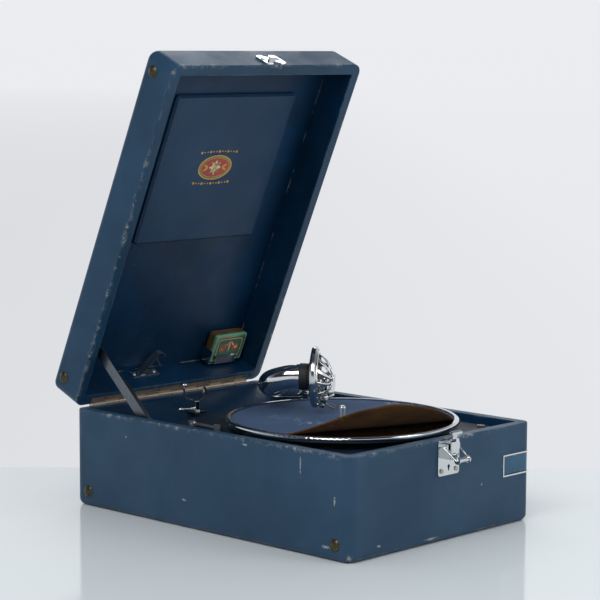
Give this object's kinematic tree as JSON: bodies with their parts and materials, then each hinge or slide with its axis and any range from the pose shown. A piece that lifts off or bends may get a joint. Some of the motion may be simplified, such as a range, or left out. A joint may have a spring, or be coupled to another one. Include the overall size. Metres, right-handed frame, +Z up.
{
  "type": "portable gramophone",
  "caption": "Wind-up portable record player in a covered hinged case, with a sprung lid stay, swan-neck arm, domed sound box, bright-rimmed turntable and corner needle tray.",
  "frame": {"origin": "centre of the base's underside", "axes": "+Z up, +Y from the latch to the hinge, +X to the right of someone facing the latch"},
  "size_m": [0.3913, 0.4687, 0.4947],
  "materials": {
    "leathercloth": "grained",
    "lining": "satin grained",
    "board": "grained",
    "chrome": "polished",
    "tarnished": "tarnished",
    "stud": "worn",
    "steel": "plain",
    "mat": "felted",
    "rubber": "matt",
    "diaphragm": "satin",
    "grip": "polished",
    "handle": "grained",
    "tin": "printed, worn",
    "teal": "satin",
    "motor": "satin",
    "wood": "bare"
  },
  "bodies": {
    "base": {"base_case": "leathercloth", "base_studs": "stud", "motor_board": "board", "board_screws": "chrome", "hinge_base_leaf": "tarnished", "hinge_pin": "steel", "stay_guide": "steel", "horn_deflector": "board", "horn_baffle": "wood", "horn_throat": "steel", "tonearm_base": "chrome", "arm_rest_clip": "chrome", "motor_unit": "motor", "speed_plate": "chrome", "crank_escutcheon": "chrome", "handle_brackets": "chrome", "latch_plate": "chrome", "latch_screws": "chrome", "drawer_frame": "chrome", "drawer_pin": "steel"},
    "lid": {"lid_case": "leathercloth", "lid_studs": "stud", "lid_panel": "lining", "hinge_lid_leaf": "tarnished", "stay_bracket": "chrome", "keeper_plate": "chrome", "crank_clip": "chrome", "tin_clip": "chrome"},
    "stay": {"stay_bar": "chrome"},
    "turntable": {"turntable_plate": "chrome", "turntable_spindle": "chrome", "turntable_mat": "mat"},
    "arm_turret": {"arm_swivel": "chrome"},
    "arm": {"arm_tube": "chrome"},
    "neck": {"arm_neck": "chrome", "soundbox_collar": "rubber", "soundbox_back": "chrome", "soundbox_diaphragm": "diaphragm", "soundbox_grille": "chrome", "stylus_bar": "steel"},
    "needle_screw": {"needle_screw": "steel"},
    "brake": {"brake_lever": "chrome"},
    "speed": {"speed_lever": "chrome"},
    "hook": {"latch_hook": "chrome"},
    "bail": {"latch_bail": "chrome"},
    "drawer": {"needle_drawer": "teal"},
    "crank": {"crank_shaft": "chrome"},
    "grip": {"crank_grip": "grip"},
    "handle": {"carry_handle": "handle"},
    "tin": {"tin_box": "tin", "tin_cover": "tin"}
  },
  "joints": [
    {"name": "lid_hinge", "type": "hinge", "parent": "base", "child": "lid", "pos_m": [0, 0.2036, 0.1065], "axis": [-1, 0, 0], "range_deg": [-52.5, 0]},
    {"name": "stay_pivot", "type": "hinge", "parent": "lid", "child": "stay", "pos_m": [-0.127, 0.18393, 0.17277], "axis": [-1, 0, 0], "range_deg": [-1, 78]},
    {"name": "turntable_spin", "type": "hinge", "parent": "base", "child": "turntable", "pos_m": [0, -0.062, 0.11], "axis": [0, 0, 1], "continuous": true, "deforming": ["turntable_mat"]},
    {"name": "arm_swing", "type": "hinge", "parent": "base", "child": "arm_turret", "pos_m": [0.106, 0.072, 0.104], "axis": [0, 0, -1], "range_deg": [-6, 53]},
    {"name": "arm_lift", "type": "hinge", "parent": "arm_turret", "child": "arm", "pos_m": [0.106, 0.072, 0.118], "axis": [-0.2767, 0.9609, 0], "range_deg": [0, 35]},
    {"name": "neck_turn", "type": "hinge", "parent": "arm", "child": "neck", "pos_m": [0.01483, 0.04574, 0.13262], "axis": [-0.9497, -0.2735, 0.1523], "range_deg": [0, 90]},
    {"name": "needle_screw_turn", "type": "hinge", "parent": "neck", "child": "needle_screw", "pos_m": [0.0101, -0.02492, 0.1209], "axis": [0.5573, -0.7239, -0.4067], "range_deg": [0, 360]},
    {"name": "brake_swing", "type": "hinge", "parent": "base", "child": "brake", "pos_m": [-0.097, 0.066, 0.1], "axis": [0, 0, 1], "range_deg": [0, 7]},
    {"name": "speed_swing", "type": "hinge", "parent": "base", "child": "speed", "pos_m": [0.112, -0.02, 0.1], "axis": [0, 0, 1], "range_deg": [-20, 20]},
    {"name": "hook_tilt", "type": "hinge", "parent": "base", "child": "hook", "pos_m": [0.004, -0.209, 0.1006], "axis": [1, 0, 0], "range_deg": [-17, 12]},
    {"name": "bail_swing", "type": "hinge", "parent": "base", "child": "bail", "pos_m": [0.004, -0.208, 0.0981], "axis": [1, 0, 0], "range_deg": [-50, 36]},
    {"name": "drawer_swing", "type": "hinge", "parent": "base", "child": "drawer", "pos_m": [0.099, -0.2002, 0.064], "axis": [0, 0, -1], "range_deg": [0, 75]},
    {"name": "crank_turn", "type": "hinge", "parent": "base", "child": "crank", "pos_m": [0.143, -0.112, 0.066], "axis": [0.9781, 0, 0.2079], "continuous": true},
    {"name": "grip_turn", "type": "hinge", "parent": "crank", "child": "grip", "pos_m": [0.18381, -0.07099, 0.03275], "axis": [0.9781, 0, 0.2079], "continuous": true},
    {"name": "handle_swing", "type": "hinge", "parent": "base", "child": "handle", "pos_m": [0.151, 0.03, 0.084], "axis": [0, -1, 0], "range_deg": [0, 120]},
    {"name": "tin_lift", "type": "slide", "parent": "lid", "child": "tin", "axis": [0, -0.4003, 0.9164], "range_m": [0, 0.06]}
  ],
  "couplings": [
    {"joint": "stay_pivot", "follows": "lid_hinge", "ratio": -1.465}
  ]
}
